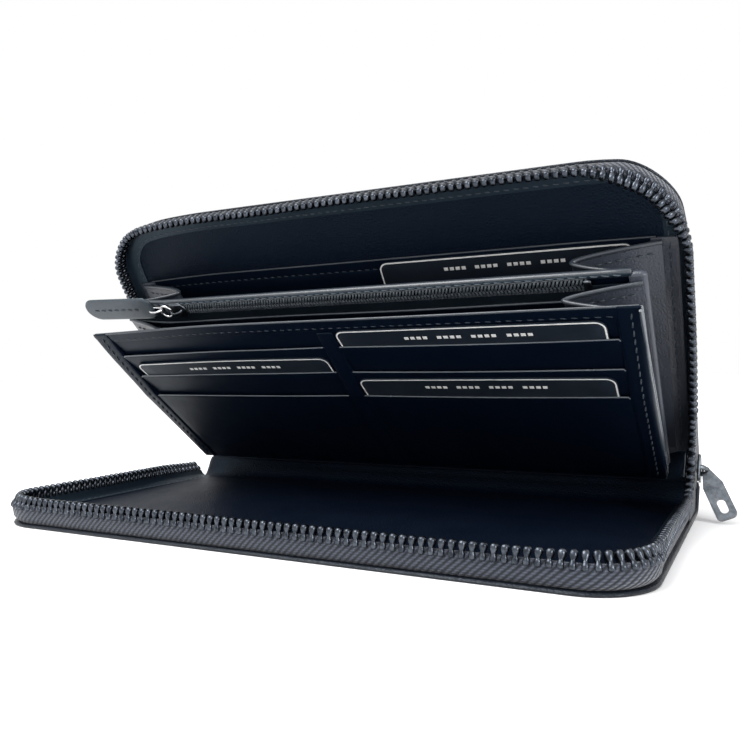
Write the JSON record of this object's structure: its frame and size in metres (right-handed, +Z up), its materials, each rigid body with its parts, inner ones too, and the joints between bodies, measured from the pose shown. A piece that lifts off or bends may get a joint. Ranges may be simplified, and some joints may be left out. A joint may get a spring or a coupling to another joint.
{
  "type": "long wallet",
  "caption": "Zip-around long wallet standing open: two hinged covers, gusseted walls with card slots and a zipped coin pocket",
  "frame": {"origin": "middle of the base cover's underside, on the table", "axes": "+X along the spine, +Y from the open side towards the spine, +Z up"},
  "size_m": [0.2342, 0.1241, 0.1136],
  "materials": {
    "outer_leather": "smooth black leather, soft sheen",
    "inner_leather": "smooth black leather, fine grain",
    "grained_leather": "grained dark leather of the gussets",
    "board": "fibre board, hidden",
    "twill": "charcoal twill tape",
    "zip_metal": "dark gunmetal, burnished",
    "bright_ring": "polished",
    "coil": "nylon coil",
    "card": "charcoal card with a silver edge line"
  },
  "bodies": {
    "base_cover": {"base_outer_leather": "outer_leather", "base_stiffener_board": "board", "base_lining": "inner_leather", "base_zip_tape": "twill", "base_zip_teeth": "zip_metal", "base_zip_binding": "inner_leather"},
    "spine": {"spine_leather": "outer_leather", "spine_lining": "inner_leather", "zip_tail_tape": "twill"},
    "back_cover": {"back_outer_leather": "outer_leather", "back_stiffener_board": "board", "back_lining": "inner_leather", "back_zip_tape": "twill", "back_zip_teeth": "zip_metal", "back_zip_binding": "inner_leather", "rear_wall_panel": "inner_leather", "rear_slot_top": "inner_leather", "rear_slot_middle": "inner_leather", "rear_slot_bottom": "inner_leather", "right_gusset_flap": "grained_leather", "left_gusset_flap": "grained_leather", "gusset_right_rear_outer": "grained_leather", "gusset_left_rear_outer": "grained_leather"},
    "coin_pocket": {"coin_rear_panel": "inner_leather", "coin_front_panel": "inner_leather", "coin_bottom_seam": "inner_leather", "coin_top_roll": "inner_leather", "coin_right_roll": "inner_leather", "coin_left_roll": "inner_leather", "coin_zip_tape_upper": "twill", "coin_zip_tape_lower": "twill", "coin_zip_coil": "coil", "coin_zip_stop_left": "zip_metal", "coin_zip_stop_right": "zip_metal", "gusset_right_rear_inner": "grained_leather", "gusset_left_rear_inner": "grained_leather", "gusset_right_front_inner": "grained_leather", "gusset_left_front_inner": "grained_leather"},
    "front_wall": {"front_wall_panel": "inner_leather", "front_top_hem": "inner_leather", "front_right_slot_top": "inner_leather", "front_right_slot_middle": "inner_leather", "front_right_slot_bottom": "inner_leather", "front_left_slot_top": "inner_leather", "front_left_slot_middle": "inner_leather", "front_left_slot_bottom": "inner_leather", "gusset_right_front_outer": "grained_leather", "gusset_left_front_outer": "grained_leather"},
    "rear_card": {"card_rear": "card"},
    "upper_right_card": {"card_right_upper": "card"},
    "middle_left_card": {"card_left_middle": "card"},
    "lower_right_card": {"card_right_lower": "card"},
    "coin_slider": {"coin_slider_body": "zip_metal"},
    "coin_pull": {"coin_pull_ring_inner": "bright_ring", "coin_pull_ring_outer": "bright_ring", "coin_pull_leather": "inner_leather"},
    "main_slider": {"main_slider_body": "zip_metal"},
    "main_pull": {"main_pull_tab": "zip_metal"}
  },
  "joints": [
    {"name": "base_crease", "type": "hinge", "parent": "base_cover", "child": "spine", "pos_m": [0, 0.057, 0.0013], "axis": [-1, 0, 0], "range_deg": [-27.5, 62.5]},
    {"name": "back_crease", "type": "hinge", "parent": "spine", "child": "back_cover", "pos_m": [0, 0.06624, 0.01904], "axis": [-1, 0, 0], "range_deg": [-27.5, 62.5]},
    {"name": "coin_pocket_fan", "type": "hinge", "parent": "back_cover", "child": "coin_pocket", "pos_m": [0, 0.05796, 0.01691], "axis": [1, 0, 0], "range_deg": [-10.7, 24.32], "deforming": ["gusset_right_rear_outer", "gusset_left_rear_outer", "gusset_right_rear_inner", "gusset_left_rear_inner"]},
    {"name": "front_wall_fan", "type": "hinge", "parent": "coin_pocket", "child": "front_wall", "pos_m": [0, 0.05182, 0.01261], "axis": [1, 0, 0], "range_deg": [-6.5, 14.78], "deforming": ["gusset_right_front_outer", "gusset_left_front_outer", "gusset_right_front_inner", "gusset_left_front_inner"]},
    {"name": "rear_card_slide", "type": "slide", "parent": "back_cover", "child": "rear_card", "axis": [0, -0.5736, 0.8192], "range_m": [0, 0.022]},
    {"name": "upper_right_card_slide", "type": "slide", "parent": "front_wall", "child": "upper_right_card", "axis": [0, -0.7902, 0.6129], "range_m": [0, 0.04]},
    {"name": "middle_left_card_slide", "type": "slide", "parent": "front_wall", "child": "middle_left_card", "axis": [0, -0.7902, 0.6129], "range_m": [0, 0.04]},
    {"name": "lower_right_card_slide", "type": "slide", "parent": "front_wall", "child": "lower_right_card", "axis": [0, -0.7902, 0.6129], "range_m": [0, 0.04]},
    {"name": "coin_slider_run", "type": "slide", "parent": "coin_pocket", "child": "coin_slider", "axis": [1, 0, 0], "range_m": [0, 0.144]},
    {"name": "coin_pull_swing", "type": "hinge", "parent": "coin_slider", "child": "coin_pull", "pos_m": [-0.0698, -0.00447, 0.0735], "axis": [0, -0.7157, 0.6984], "range_deg": [0, 20], "deforming": ["coin_pull_leather"]},
    {"name": "main_slider_run", "type": "slide", "parent": "spine", "child": "main_slider", "axis": [0, -0.887, 0.4617], "range_m": [0, 0.005]},
    {"name": "main_pull_swing", "type": "hinge", "parent": "main_slider", "child": "main_pull", "pos_m": [0.1106, 0.05009, 0.01617], "axis": [0, -0.887, 0.4617], "range_deg": [0, 120]}
  ],
  "couplings": [
    {"joint": "back_crease", "follows": "base_crease", "ratio": 1},
    {"joint": "coin_pocket_fan", "follows": "base_crease", "ratio": 0.38909},
    {"joint": "front_wall_fan", "follows": "base_crease", "ratio": 0.23636}
  ]
}
